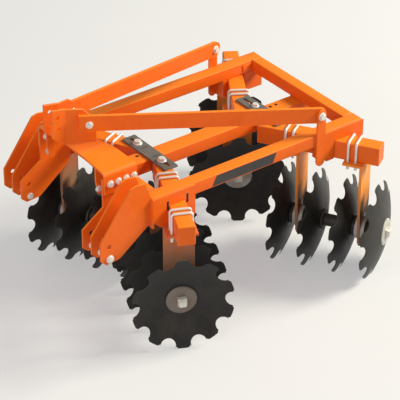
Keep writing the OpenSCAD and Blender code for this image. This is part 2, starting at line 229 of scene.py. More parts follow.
class HarrowColours(bpy.types.PropertyGroup):
    """Base colours of the finishes."""
    orange: colour_setting("Frame paint", "Orange of the frame", (0.93, 0.160, 0.010))
    orange_deep: colour_setting(
        "Frame paint, deep", "Orange where the paint lies thick", (0.84, 0.125, 0.010))
    # Painted light: a yellower orange on faces that look up, for the light that falls on the tops.
    orange_lit_top: colour_setting(
        "Frame paint, tops", "Orange bleached by the sun on faces that look up", (0.95, 0.240, 0.012))
    # Partly paint rubbed thin, partly a painted highlight along the edges.
    orange_edge_wear_and_highlight: colour_setting("Frame paint, edges", "Orange rubbed thin on the edges", (0.96, 0.33, 0.06))
    soil: colour_setting("Dust", "Dry soil dust", (0.30, 0.21, 0.14))
    disc: colour_setting("Disc", "Dark coat of the discs", (0.015, 0.0155, 0.015))
    disc_rub: colour_setting("Disc, rubbed", "Steel at the ground edge of a disc", (0.11, 0.11, 0.105))
    casting: colour_setting("Gang castings", "Spools and axles", (0.034, 0.032, 0.030))
    # Painted shade: the front end washers are darker than the rear ones, which use the housing colour.
    washer: colour_setting("Front washers", "End washers of the front gangs", (0.19, 0.165, 0.145))
    # The rear end washers take this lighter colour as painted light.
    housing: colour_setting(
        "Housings", "Bearing housings and end washers of the rear gangs", (0.56, 0.55, 0.52))
    # Painted light: the yellower orange of the sunlit upper rear hangers.
    rear_hanger_lit: colour_setting("Rear hangers", "Clean paint high on the rear hangers", (0.95, 0.33, 0.035))
    # Dried soil low on the hangers; on the front hangers it reaches higher as partly painted shade.
    soil_and_shade: colour_setting("Hanger stain", "Dried soil low on the hangers", (0.35, 0.175, 0.098))
    zinc: colour_setting("Plating", "U-bolts, bolts and pins", (0.86, 0.86, 0.82))
    bracket: colour_setting("Angle plates", "Slotted plates", (0.17, 0.175, 0.165))
    band: colour_setting("Rail band", "Dark band on the rails", (0.020, 0.018, 0.016))


class HarrowStudio(bpy.types.PropertyGroup):
    """Camera and light of the studio."""
    azimuth: number_setting(
        "Camera turn", "Turn of the camera about the harrow", math.radians(53.472), subtype="ANGLE")
    elevation: number_setting(
        "Camera tilt", "Height angle of the camera", math.radians(32.179), subtype="ANGLE")
    distance: number_setting(
        "Camera distance", "From the camera to its target", 11.9758, min=2, unit="LENGTH")
    lens: number_setting("Lens", "Focal length in millimetres on a 36 mm frame", 180.243, min=20, max=400)
    target: FloatVectorProperty(
        name="Camera target", description="Point in the middle of the picture",
        size=3, default=(0.00095, 0.01267, 0.4349), subtype="TRANSLATION")
    key: number_setting(
        "Key light", "Power of the lamp high behind the left rear corner", 2650.0, min=0, unit="POWER")
    fill: number_setting(
        "Fill light", "Power of the lamp on the camera's side", 140.0, min=0, unit="POWER")


def sizes():
    return bpy.context.scene.harrow_sizes


def colours():
    return bpy.context.scene.harrow_colours


def unit(vector):
    """A vector divided by its length."""
    vector = np.asarray(vector, float)
    return vector / np.linalg.norm(vector)


def world(points):
    """Points of the part's source in millimetres, moved along the machine by the shift, in metres."""
    return (np.asarray(points, float) + SHIFT) * MM


def gang_row(gang):
    """The row of values that a gang follows, front or rear."""
    return ROWS[gang.split("_")[0]]


def gang_frame(gang):
    """Origin, outward axis and rearward direction of a gang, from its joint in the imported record."""
    joint = next(j for j in frame["joints"] if j["child"] == gang + "_gang")
    axis = unit(joint["axis"])
    back = np.cross(UP, axis)
    if back[1] < 0:
        back = -back
    return np.array(joint["pos_m"]), axis, back


def on_gang(gang, local):
    """Points along the axle, back and up from the axle, in millimetres, as places in metres."""
    origin, axis, back = gang_frame(gang)
    local = np.asarray(local, float) * MM
    return origin + local[..., :1] * axis + local[..., 1:2] * back + local[..., 2:3] * UP


def surface(grid, loop=False):
    """Quads between neighbouring points of a grid of rows and columns. Columns close on themselves; rows
    close too where loop is set, and otherwise the first and last rows are closed by flat faces. All faces
    are turned round if the volume they enclose comes out negative."""
    rows, cols = grid.shape[:2]
    index = np.arange(rows * cols).reshape(rows, cols)
    lower = index if loop else index[:-1]
    upper = np.roll(index, -1, 0) if loop else index[1:]
    quads = np.stack([lower, np.roll(lower, -1, 1), np.roll(upper, -1, 1), upper], -1).reshape(-1, 4)
    points = grid.reshape(-1, 3)
    ends = [] if loop else [index[0][::-1], index[-1]]
    corner = points[quads] - points.mean(0)
    volume = np.einsum("ij,ij->", corner[:, 0], np.cross(corner[:, 1], corner[:, 2]))
    volume += np.einsum("ij,ij->", corner[:, 0], np.cross(corner[:, 2], corner[:, 3]))
    for ring in ends:
        fan = points[ring] - points.mean(0)
        volume += np.einsum("ij,ij->", np.broadcast_to(fan[:1], fan[1:-1].shape),
                            np.cross(fan[1:-1], fan[2:]))
    if volume < 0:
        quads = quads[:, ::-1]
        ends = [ring[::-1] for ring in ends]
    return points, quads, ends


def rounded_rectangle(width, height, corner, steps=4):
    """Outline of a rectangle whose four corners are quarter circles, as points across and up."""
    turn = np.linspace(0, math.pi / 2, steps + 1)
    turns = (turn + np.arange(4)[:, None] * math.pi / 2).ravel()
    sign_x = np.repeat([1, -1, -1, 1], steps + 1)
    sign_y = np.repeat([1, 1, -1, -1], steps + 1)
    x = sign_x * (width / 2 - corner) + corner * np.cos(turns)
    y = sign_y * (height / 2 - corner) + corner * np.sin(turns)
    return np.stack([x, y], -1)


def bar_grid(start, end, across, width, height, corner, chamfer):
    """A rounded rectangle carried along a straight line. At each end the last ring is drawn in by the
    chamfer, so the end face has a slanted rim."""
    start = np.asarray(start, float)
    run = np.asarray(end, float) - start
    length = np.linalg.norm(run)
    along = run / length
    across = unit(across)
    rise = np.cross(along, across)
    drawn = np.array([chamfer, 0.0, 0.0, chamfer])
    place = np.array([0.0, chamfer, length - chamfer, length])
    rings = np.stack([rounded_rectangle(width - 2 * d, height - 2 * d, max(corner - d, corner * 0.4))
                      for d in drawn])
    return start + place[:, None, None] * along + rings[..., :1] * across + rings[..., 1:] * rise


def turned_grid(origin, axis, rings, sides=0, count=24):
    """Rings about an axis, each given as height, corner radius and squareness. With squareness 0 a ring is
    a circle, with 1 its radius falls between the corners as cos(pi/n) over the cosine of the angle from the
    middle of a side."""
    rings = np.asarray(rings, float)
    axis = unit(axis)
    side = unit(np.cross(axis, UP if abs(axis[2]) < 0.9 else LEFT))
    other = np.cross(axis, side)
    angle = np.arange(count) * 2 * math.pi / count
    flat = np.ones(count)
    if sides:
        step = 2 * math.pi / sides
        flat = math.cos(step / 2) / np.cos(np.mod(angle + step / 2, step) - step / 2)
    radius = rings[:, 1:2] * (1 + rings[:, 2:3] * (flat - 1))
    return (np.asarray(origin) + rings[:, :1, None] * axis + (radius * np.cos(angle))[..., None] * side
            + (radius * np.sin(angle))[..., None] * other)


def turned(place, axis, rings, sides=0, count=24):
    """The closed surface of rings in millimetres about an axis."""
    return surface(turned_grid(place, axis, np.array(rings) * (MM, MM, 1), sides, count))


def rod_grid(path, plane_normal, radius, count=12):
    """A circle carried along a flat path: its two axes are the normal of the path's plane and the cross
    product of the tangent with that normal. The radius may change from point to point."""
    path = np.asarray(path, float)
    tangent = np.gradient(path, axis=0)
    tangent /= np.linalg.norm(tangent, axis=1, keepdims=True)
    plane_normal = unit(plane_normal)
    other = np.cross(tangent, plane_normal)
    angle = np.arange(count) * 2 * math.pi / count
    radius = np.broadcast_to(np.asarray(radius, float), len(path))[:, None, None]
    return (path[:, None] + radius * (np.cos(angle)[:, None] * plane_normal
                                      + np.sin(angle)[:, None] * other[:, None]))


def upright(outline, level):
    """Places along the machine and heights, at a distance to its left."""
    return np.insert(outline, 0, level, axis=1)


def slab_grid(outline, place_on, low, high, chamfer=1.5):
    """A flat convex outline carried from one level to another. Next to both faces the ring is drawn in
    towards its middle by the chamfer over its mean reach."""
    outline = np.asarray(outline, float)
    middle = outline.mean(0)
    drawn = middle + (outline - middle) * (1 - chamfer / np.linalg.norm(outline - middle, axis=1).mean())
    rings = ((drawn, low), (outline, low + chamfer), (outline, high - chamfer), (drawn, high))
    return np.stack([place_on(ring, level) for ring, level in rings])


def holed_plate(outline, hole, radius, low, high, seam, chamfer=1.5):
    """An upright plate with one round hole. Rays from the hole's middle cross the hole and the outline, and
    the rows run from the hole over one face, round the edge and back over the other. The edge that lies at
    the height of the seam keeps no chamfer."""
    corner = np.asarray(outline, float) - hole
    side = np.roll(corner, -1, 0) - corner
    angle = np.sort(np.concatenate([np.arctan2(corner[:, 1], corner[:, 0]),
                                    np.linspace(-math.pi, math.pi, 40, endpoint=False)]))
    ray = np.stack([np.cos(angle), np.sin(angle)], -1)
    cross = ray[:, None, 0] * side[:, 1] - ray[:, None, 1] * side[:, 0]
    cross = np.where(np.abs(cross) < 1e-9, 1e-9, cross)
    reach = (corner[:, 0] * side[:, 1] - corner[:, 1] * side[:, 0]) / cross
    part = (corner[:, 0] * ray[:, None, 1] - corner[:, 1] * ray[:, None, 0]) / cross
    inside = (reach > 0) & (part > -1e-6) & (part < 1 + 1e-6)
    reach = np.where(inside, reach, np.inf).min(1)
    cut = np.where(np.abs(hole[1] + reach * ray[:, 1] - seam) < 0.5, 0.0, chamfer)
    bore = np.full(len(angle), radius)
    lows = np.full(len(angle), low)
    highs = np.full(len(angle), high)
    level = np.stack([highs, highs, highs - cut, lows + cut, lows, lows])
    length = np.stack([bore, reach - cut, reach, reach, reach - cut, bore])
    return np.stack([level, hole[0] + length * ray[:, 0], hole[1] + length * ray[:, 1]], -1)


def rounded_line(corners, radii, steps=9):
    """A line through corners, each rounded by an arc that touches both of its sides."""
    corners = np.asarray(corners, float)
    points = [corners[:1]]
    for before, at, after, radius in zip(corners, corners[1:], corners[2:], radii):
        first = unit(before - at)
        second = unit(after - at)
        half = math.acos(float(first @ second)) / 2
        centre = at + unit(first + second) * radius / math.sin(half)
        start = at + first * radius / math.tan(half) - centre
        end = at + second * radius / math.tan(half) - centre
        turn = math.pi - 2 * half
        part = np.linspace(0, 1, steps)[:, None]
        arc = np.sin((1 - part) * turn) * start + np.sin(part * turn) * end
        points.append(centre + arc / math.sin(turn))
    points.append(corners[-1:])
    return np.concatenate(points)


def bent_sheet(front, rear, thick, chamfer=1.5):
    """A sheet ruled between two bent lines of as many points, its front and its rear edge. Its section goes
    down from the lines by the thickness, along the cross product of the line and the ruling, with chamfered
    corners."""
    ruling = (rear - front) / np.linalg.norm(rear - front, axis=1, keepdims=True)
    section = ((front, 0, chamfer), (rear, 0, -chamfer), (rear, chamfer, 0), (rear, thick - chamfer, 0),
               (rear, thick, -chamfer), (front, thick, chamfer), (front, thick - chamfer, 0),
               (front, chamfer, 0))
    columns = []
    for line, deep, shift in section:
        normal = np.cross(np.gradient(line, axis=0), ruling)
        normal /= np.linalg.norm(normal, axis=1, keepdims=True)
        columns.append(line - normal * deep + ruling * shift)
    return np.stack(columns, 1)


def bolt_shapes(place, axis, across):
    """A six-sided head with a round chamfered top, on a round washer, in shares of the head's radius."""
    r = across / 2
    place = np.asarray(place, float)
    lift = 0.16 * r
    top = lift + 0.72 * r
    head = [(lift, r, 1), (lift + 0.58 * r, r, 1), (top, 0.84 * r, 0), (top, 0.3 * r, 0)]
    washer = [(0, 1.3 * r, 0), (0.12 * r, 1.3 * r, 0), (0.17 * r, 1.24 * r, 0)]
    return [surface(turned_grid(place, axis, head, 6)), surface(turned_grid(place, axis, washer))]


def bead_grid(start, end, radius):
    """A weld bead: a circle carried along a straight line, its radius rippled by a sine of the distance and
    drawn in at both ends by the fourth root of a sine."""
    start = np.asarray(start, float)
    run = np.asarray(end, float) - start
    length = np.linalg.norm(run)
    count = max(8, int(length / BEAD_STEP))
    part = np.linspace(0, 1, count)
    swell = np.maximum(np.sin(math.pi * np.clip(part, 0.004, 0.996)), 0) ** 0.25
    ripple = 1 + BEAD_WAVE * np.sin(part * length / BEAD_RIPPLE * 2 * math.pi)
    normal = np.cross(run, UP if abs(run[2]) < 0.9 * length else LEFT)
    return rod_grid(start + part[:, None] * run, normal, radius * swell * ripple, 8)


def notch_rim():
    """Angle and radius round a notched rim. In a notch the points lie on a circle about the notch's middle,
    between notches on the rim's own circle."""
    half = math.acos((DISC_R ** 2 + NOTCH_AT ** 2 - NOTCH_R ** 2) / (2 * DISC_R * NOTCH_AT))
    edge = np.array([DISC_R * math.cos(half) - NOTCH_AT, DISC_R * math.sin(half)])
    sweep = math.atan2(edge[1], edge[0])
    around = np.linspace(sweep, 2 * math.pi - sweep, 15)
    x = NOTCH_AT + NOTCH_R * np.cos(around)
    y = NOTCH_R * np.sin(around)
    notch_angle = -np.arctan2(y, x)
    order = np.argsort(notch_angle)
    notch_radius = np.hypot(x, y)[order]
    pitch = 2 * math.pi / NOTCHES
    tooth_angle = np.linspace(half, pitch - half, 7)[1:-1]
    angle = np.concatenate([notch_angle[order], tooth_angle])
    radius = np.concatenate([notch_radius, np.full(len(tooth_angle), DISC_R)])
    turns = (np.arange(NOTCHES) + 0.5) * pitch
    return (turns[:, None] + angle).ravel(), np.tile(radius, NOTCHES)


def disc_grid(bevel, rings):
    """A dished disc as rings from its bore out over the full side and back over the hollow side. The depth
    grows with the square of the radius beyond the flat hub. The full side is ground down by three quarters
    of the thickness towards the rim. Returns height along the axle, side and up, and the radius."""
    angle, rim = notch_rim()
    part = np.linspace(0, 1, rings) ** 0.85
    ground = np.maximum(0, 1 - (rim - DISC_BORE) * (1 - part[:, None]) / bevel) * 0.75 * DISC_T
    radius = DISC_BORE + (rim - DISC_BORE) * part[:, None]
    fall = -DISH_H * np.maximum(radius ** 2 - HUB_R ** 2, 0) / (DISC_R ** 2 - HUB_R ** 2)
    height = np.concatenate([fall - ground, (fall - DISC_T)[::-1]])
    radius = np.concatenate([radius, radius[::-1]])
    grid = np.stack([height, radius * np.sin(angle), radius * np.cos(angle)], -1)
    return grid, radius


def feed(tree, socket, value):
    """Links a node's output to a socket, or sets the socket to a plain value or an opaque colour."""
    if isinstance(value, bpy.types.NodeSocket):
        tree.links.new(value, socket)
    elif socket.type == "RGBA":
        socket.default_value = (*value[:3], 1.0)
    else:
        socket.default_value = value


def add_node(tree, kind, sockets=None, **settings):
    """A node with its settings, and its sockets fed by outputs of other nodes or by plain values."""
    node = tree.nodes.new("ShaderNode" + kind)
    for key, value in settings.items():
        setattr(node, key, value)
    for key, value in (sockets or {}).items():
        feed(tree, node.inputs[key], value)
    return node


def ranged(tree, value, low=0.0, high=1.0, to_low=0.0, to_high=1.0):
    """A value taken from one range to another and held inside it."""
    return add_node(tree, "MapRange", {0: value, 1: low, 2: high, 3: to_low, 4: to_high}).outputs[0]


def joined(tree, first, second, operation="MULTIPLY"):
    """The product of two values, or what another operation makes of them."""
    return add_node(tree, "Math", {0: first, 1: second}, operation=operation).outputs[0]


def mix_colours(tree, factor, first, second):
    """A blend of two colours, each a node's output or a plain colour."""
    return add_node(tree, "Mix", {0: factor, 6: first, 7: second}, data_type="RGBA").outputs[2]


def object_place(tree):
    """Object coordinates."""
    return add_node(tree, "TexCoord").outputs["Object"]


def object_noise(tree, scale, detail, roughness=0.5):
    """A noise in Object coordinates."""
    sockets = {"Vector": object_place(tree), "Scale": scale, "Detail": detail, "Roughness": roughness}
    return add_node(tree, "TexNoise", sockets).outputs["Fac"]


def upward(tree, vector):
    """The part of a vector that points up."""
    return add_node(tree, "SeparateXYZ", {0: vector}).outputs["Z"]


def face_normal(tree):
    """The normal of the surface."""
    return add_node(tree, "NewGeometry").outputs["Normal"]


def node_group(name, inputs, outputs):
    """An empty shader group with the named sockets, what comes into it and what it puts out."""
    tree = bpy.data.node_groups.new(name, "ShaderNodeTree")
    for way, sockets in (("INPUT", inputs), ("OUTPUT", outputs)):
        for label, kind in sockets.items():
            tree.interface.new_socket(name=label, in_out=way, socket_type="NodeSocket" + kind)
    return tree, tree.nodes.new("NodeGroupInput").outputs, tree.nodes.new("NodeGroupOutput").inputs


def tone_group():
    """Slow patches of a second colour, from a noise in Object coordinates."""
    tree, given, out = node_group(
        "uneven_tone", {"Colour": "Color", "Second": "Color", "Scale": "Float", "Amount": "Float"},
        {"Colour": "Color", "Mask": "Float"})
    mask = ranged(tree, object_noise(tree, given["Scale"], 6.0, 0.62), 0.36, 0.66)
    part = joined(tree, mask, given["Amount"])
    feed(tree, out["Colour"], mix_colours(tree, part, given["Colour"], given["Second"]))
    feed(tree, out["Mask"], mask)
    return tree


def edge_group():
    """A mask along edges for worn paint and a painted highlight: how far a rounded normal turns from the flat
    one, broken up by a noise.
    """
    tree, given, out = node_group("worn_and_highlit_edges", {"Width": "Float", "Breakup": "Float"}, {"Mask": "Float"})
    soft = add_node(tree, "Bevel", {"Radius": given["Width"]}, samples=6)
    dot = add_node(tree, "VectorMath", {0: soft.outputs[0], 1: face_normal(tree)}, operation="DOT_PRODUCT")
    turn = ranged(tree, dot.outputs["Value"], 0.995, 0.86)
    patch = ranged(tree, object_noise(tree, given["Breakup"], 5.0, 0.7), 0.38, 0.62)
    feed(tree, out["Mask"], joined(tree, turn, patch))
    return tree


def dust_group():
    """Dust that lies where a face looks up and where a noise is high, stronger near the ground."""
    tree, given, out = node_group("dust", {"Scale": "Float", "Amount": "Float"}, {"Mask": "Float"})
    facing = ranged(tree, upward(tree, face_normal(tree)), -0.2, 1.0, 0.35)
    low = ranged(tree, upward(tree, object_place(tree)), 1.3, 0.15, 0.25)
    patch = ranged(tree, object_noise(tree, given["Scale"], 8.0, 0.7), 0.42, 0.72)
    mask = joined(tree, joined(tree, facing, low), patch)
    feed(tree, out["Mask"], joined(tree, mask, given["Amount"]))
    return tree


def top_light_group():
    """How far a face looks up, from a third of the way to straight up; the mask of a painted top light."""
    tree, _, out = node_group("painted_top_light", {}, {"Mask": "Float"})
    feed(tree, out["Mask"], ranged(tree, upward(tree, face_normal(tree)), 0.3, to_high=0.9))
    return tree


def soil_and_shade_group():
    """Dried soil, partly painted shade, that grows from a clean height down to a soiled one, its edge shifted
    by a noise.
    """
    tree, given, out = node_group("soil_and_shade_line", {"Clean": "Float", "Soiled": "Float"}, {"Mask": "Float"})
    shift = ranged(tree, object_noise(tree, 13.0, 6.0, 0.7), to_low=-0.12, to_high=0.12)
    level = joined(tree, upward(tree, object_place(tree)), shift, "ADD")
    feed(tree, out["Mask"], ranged(tree, level, given["Clean"], given["Soiled"]))
    return tree


def grain_group():
    """A bump from a fine noise in Object coordinates."""
    tree, given, out = node_group(
        "fine_grain", {"Scale": "Float", "Strength": "Float", "Depth": "Float"}, {"Normal": "Vector"})
    bump = add_node(tree, "Bump", {"Height": object_noise(tree, given["Scale"], 4.0),
                                   "Strength": given["Strength"], "Distance": given["Depth"]})
    feed(tree, out["Normal"], bump.outputs[0])
    return tree


SHARED = {"uneven_tone": tone_group, "worn_and_highlit_edges": edge_group, "dust": dust_group,
          "soil_and_shade_line": soil_and_shade_group, "painted_top_light": top_light_group, "fine_grain": grain_group}


def use_group(tree, name, **values):
    """What a shared group puts out, placed in a material with its own values. The group is built the first
    time it is asked for."""
    node = tree.nodes.new("ShaderNodeGroup")
    node.node_tree = bpy.data.node_groups.get(name) or SHARED[name]()
    for key, value in values.items():
        feed(tree, node.inputs[key], value)
    return node.outputs


def new_material(name):
    """A node material and its tree."""
    material = bpy.data.materials.new(name)
    material.use_nodes = True
    return material, material.node_tree


def set_shader(tree, sockets):
    """Feeds the sockets of a material's shader."""
    shader = tree.nodes["Principled BSDF"]
    for key, value in sockets.items():
        feed(tree, shader.inputs[key], value)


def shade(choice):
    """A user's colour by its name, or a plain colour as it is."""
    return getattr(colours(), choice) if isinstance(choice, str) else choice


def highlit_worn_and_dusty(tree, paint, edge, width, breakup, amount, dust_scale, dust):
    """A colour with edges lightened by wear and by a painted highlight, and dust over it."""
    edges = use_group(tree, "worn_and_highlit_edges", Width=width, Breakup=breakup)
    worn_and_highlit = mix_colours(tree, joined(tree, edges["Mask"], amount), paint, edge)
    dusty = use_group(tree, "dust", Scale=dust_scale, Amount=dust)
    return mix_colours(tree, dusty["Mask"], worn_and_highlit, colours().soil)


def metal_finish(name, base, second, edge, rough, tone_scale=6.0, tone=0.6, dust=0.5, edge_width=0.005,
                 edge_amount=0.6, grain=(420.0, 0.25, 0.0004), metallic=0.0, coat=0.0, coat_rough=0.2,
                 gloss=0.5, soil_and_shade=None, bleached=None):
    """Patches of a second colour, edges lightened by wear and by a painted highlight, dust, uneven gloss and
    a fine grain on a metal surface. Soil and shade is a clean height and a soiled height between which dried
    soil, partly painted shade, grows over the paint. The lit-top colour lies on faces that look up, as
    painted light from above."""
    material, tree = new_material(name)
    patches = use_group(tree, "uneven_tone", Colour=shade(base), Second=shade(second), Scale=tone_scale,
                        Amount=tone)
    paint = patches["Colour"]
    # Painted light: faces that look up get a yellower orange, for the light falling on the tops.
    if bleached:
        paint = mix_colours(tree, use_group(tree, "painted_top_light")["Mask"], paint, shade(bleached))
    paint = highlit_worn_and_dusty(tree, paint, shade(edge), edge_width, 38.0, edge_amount, 9.0, dust)
    # Dried soil growing from a clean height down to a soiled one; on the front hangers partly painted shade.
    if soil_and_shade:
        soiled = use_group(tree, "soil_and_shade_line", Clean=soil_and_shade[0], Soiled=soil_and_shade[1])
        paint = mix_colours(tree, soiled["Mask"], paint, colours().soil_and_shade)
    bump = use_group(tree, "fine_grain", Scale=grain[0], Strength=grain[1], Depth=grain[2])
    set_shader(tree, {"Base Color": paint, "Normal": bump["Normal"], "Metallic": metallic,
                      "Roughness": ranged(tree, patches["Mask"], to_low=rough[0], to_high=rough[1]),
                      "Specular IOR Level": gloss, "Coat Weight": coat, "Coat Roughness": coat_rough})
    return material


def disc_coat():
    """Dark coat with turning marks that follow the radius, rubbed bright at the ground edge."""
    material, tree = new_material("disc_coat")
    patches = use_group(tree, "uneven_tone", Colour=colours().disc, Second=(0.030, 0.031, 0.030), Scale=5.0,
                        Amount=0.8)
    reach = add_node(tree, "Attribute", attribute_name="reach")
    marks = add_node(tree, "TexNoise", {"W": reach.outputs["Fac"], "Scale": 420.0, "Detail": 4.0,
                                        "Roughness": 0.7}, noise_dimensions="1D").outputs["Fac"]
    ringed = mix_colours(tree, ranged(tree, marks, to_high=0.22), patches["Colour"], (0.06, 0.06, 0.058))
    paint = highlit_worn_and_dusty(tree, ringed, colours().disc_rub, 0.006, 22.0, 0.55, 7.0, 0.16)
    bump = add_node(tree, "Bump", {"Height": marks, "Strength": 0.12, "Distance": 0.0005})
    set_shader(tree, {"Base Color": paint, "Normal": bump.outputs[0], "Metallic": 0.12,
                      "Roughness": ranged(tree, patches["Mask"], to_low=0.38, to_high=0.52),
                      "Specular IOR Level": 0.25})
    return material


def finish(name):
    """A finish by its name, made the first time it is asked for."""
    made = bpy.data.materials.get(name)
    if made:
        return made
    if name == "disc_coat":
        return disc_coat()
    base, second, edge, rough, values = FINISHES[name][1:]
    return metal_finish(name, base, second, edge, rough, **values)


def link_object(name, data):
    """A new object in the scene."""
    made = bpy.data.objects.new(name, data)
    bpy.context.scene.collection.objects.link(made)
    return made


def add_piece(name, shapes, finish_name, replaced=(), body="frame", smooth=35.0, reach=None):
    """One mesh object from a list of surfaces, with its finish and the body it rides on."""
    points = np.concatenate([shape[0] for shape in shapes])
    faces = []
    start = 0
    for shape_points, quads, ends in shapes:
        faces.extend((quads + start).tolist())
        faces.extend((ring + start).tolist() for ring in ends)
        start += len(shape_points)
    mesh = bpy.data.meshes.new(name)
    mesh.from_pydata(points.tolist(), [], faces)
    mesh.polygons.foreach_set("use_smooth", np.ones(len(mesh.polygons), bool))
    mesh.set_sharp_from_angle(angle=math.radians(smooth))
    if reach is not None:
        attribute = mesh.attributes.new("reach", "FLOAT", "POINT")
        attribute.data.foreach_set("value", np.asarray(reach, np.float32))
    mesh.materials.append(finish(finish_name))
    mesh.validate()
    mesh.update()
    piece = link_object(name, mesh)
    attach(piece, body)
    if replaced:
        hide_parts(*replaced)


class HARROW_OT_finishes(bpy.types.Operator):
    """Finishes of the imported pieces"""
    bl_idname = "harrow.finishes"
    bl_label = "Packed pieces"

    def execute(self, context):
        for name, piece in frame["nodes"].items():
            chosen = next((made for ending, made in NODE_FINISHES if name.endswith(ending)), "frame_paint")
            piece.data.materials.clear()
            piece.data.materials.append(finish(chosen))
        return {"FINISHED"}


class HARROW_OT_tubes(bpy.types.Operator):
    """Rounded rails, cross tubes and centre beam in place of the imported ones"""
    bl_idname = "harrow.tubes"
    bl_label = "Frame tubes"

    def execute(self, context):
        s = sizes()
        for name in ("left_rail", "right_rail", "front_cross_tube", "rear_cross_tube", "centre_beam"):
            low, high = (np.array(corner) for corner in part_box(name))
            size = high - low
            along = 0 if name.endswith("cross_tube") else 1
            start = (low + high) / 2
            end = start.copy()
            start[along] = low[along]
            end[along] = high[along]
            across = BACK if along == 0 else LEFT
            grid = bar_grid(start, end, across, size[1 - along], size[2], s.tube_corner, s.edge_chamfer)
            add_piece(name + "_tube", [surface(grid)], "frame_paint", (name,))
        return {"FINISHED"}


class HARROW_OT_arches(bpy.types.Operator):
    """Bent arches with a soft second fold in the shelf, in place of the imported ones"""
    bl_idname = "harrow.arches"
    bl_label = "Arches"

    def execute(self, context):
        front = rounded_line([(41, -956, 1181), (118, -898, 1120), (LEG_OUT, -900, 1105),
                              (LEG_OUT, -900, LEG_FOOT)], (90.0, 30.0))
        rear = rounded_line([(93, -785, 1176), (118, -697, 1120), (LEG_OUT, -682, 1105),
                             (LEG_OUT, -682, LEG_FOOT)], (70.0, 30.0))
        rear_cheek = [(-3, 1166), (-3, 1397), (98, 1381), (158, 1318), (172, 1262), (172, 1164)]
        lug = [(-899, 1102), (-899, 1020), (-885, 935), (-852, 925), (-852, 1102)]
        upper = [(-1038, CHEEK_SEAM), (-1038, 1416), (-944, 1399), (-944, CHEEK_SEAM)]
        lower = [(-1038, 1241), (-1038, CHEEK_SEAM), (-944, CHEEK_SEAM), (-944, 1171), (-952, 1171)]
        sheets = (bent_sheet(front, rear, ARCH_T), slab_grid(rear_cheek, self.on_stay_plane, -ARCH_T, 0.0),
                  slab_grid(lug, upright, LUG_OUT - STRAP_T, LUG_OUT))
        grids = [(grid, False) for grid in sheets]
        for outline, hole in ((upper, (-1000.0, 1362.0)), (lower, (-996.0, 1291.0))):
            grids.append((holed_plate(outline, np.array(hole), LINK_HOLE_R, CHEEK_OUT - ARCH_T, CHEEK_OUT,
                                      CHEEK_SEAM), True))
        for name, flip in SIDES:
            shapes = [surface(world(grid) * flip, loop) for grid, loop in grids]
            add_piece(name + "_bent_arch", shapes, "frame_paint", (name + "_arch",))
        return {"FINISHED"}

    def on_stay_plane(self, outline, level):
        """Distances along a stay and heights, at a distance off the stay's plane."""
        return STAY_START + outline[:, :1] * ALONG_STAY + outline[:, 1:] * UP + level * OFF_STAY


class HARROW_OT_posts(bpy.types.Operator):
    """One strap outside each rail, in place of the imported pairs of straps"""
    bl_idname = "harrow.posts"
    bl_label = "Posts"

    def execute(self, context):
        turn = np.linspace(0, math.pi, 25)
        arc = np.stack([np.cos(turn), np.sin(turn)], -1) * POST_WIDTH / 2
        outline = np.concatenate([arc + (POST_Y, POST_TOP), (POST_Y, POST_LOW) - arc])
        grid = world(slab_grid(outline, upright, RAIL_OUT, RAIL_OUT + STRAP_T))
        for name, flip in SIDES:
            add_piece(name + "_post_strap", [surface(grid * flip)], "frame_paint", (name + "_post",))
        return {"FINISHED"}


class HARROW_OT_beams(bpy.types.Operator):
    """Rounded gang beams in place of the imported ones"""
    bl_idname = "harrow.beams"
    bl_label = "Gang beams"

    def execute(self, context):
        s = sizes()
        middle = (DECK + BEAM_LOW) / 2 - DISC_R
        for gang in GANGS:
            start, end = on_gang(gang, [(at, 0, middle) for at in gang_row(gang)["beam"]])
            grid = bar_grid(start, end, gang_frame(gang)[2], BEAM_W * MM, (DECK - BEAM_LOW) * MM,
                            s.tube_corner, s.edge_chamfer)
            add_piece(gang + "_tube", [surface(grid)], "frame_paint", (gang + "_beam",))
        return {"FINISHED"}


class HARROW_OT_discs(bpy.types.Operator):
    """Dished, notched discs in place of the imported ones"""
    bl_idname = "harrow.discs"
    bl_label = "Discs"

    def execute(self, context):
        s = sizes()
        grid, radius = disc_grid(s.disc_bevel / MM, s.disc_rings)
        for gang in GANGS:
            hub = gang_row(gang)["hub"]
            shapes = []
            for k in range(DISCS):
                local = grid * (hub, 1.0, 1.0) + (hub * DISH_H - k * DISC_GAP, 0, 0)
                shapes.append(surface(on_gang(gang, local), loop=True))
            add_piece(gang + "_blades", shapes, "disc_coat", (gang + "_discs",), gang + "_gang", smooth=28.0,
                      reach=np.tile(radius.ravel() * MM, DISCS))
        return {"FINISHED"}


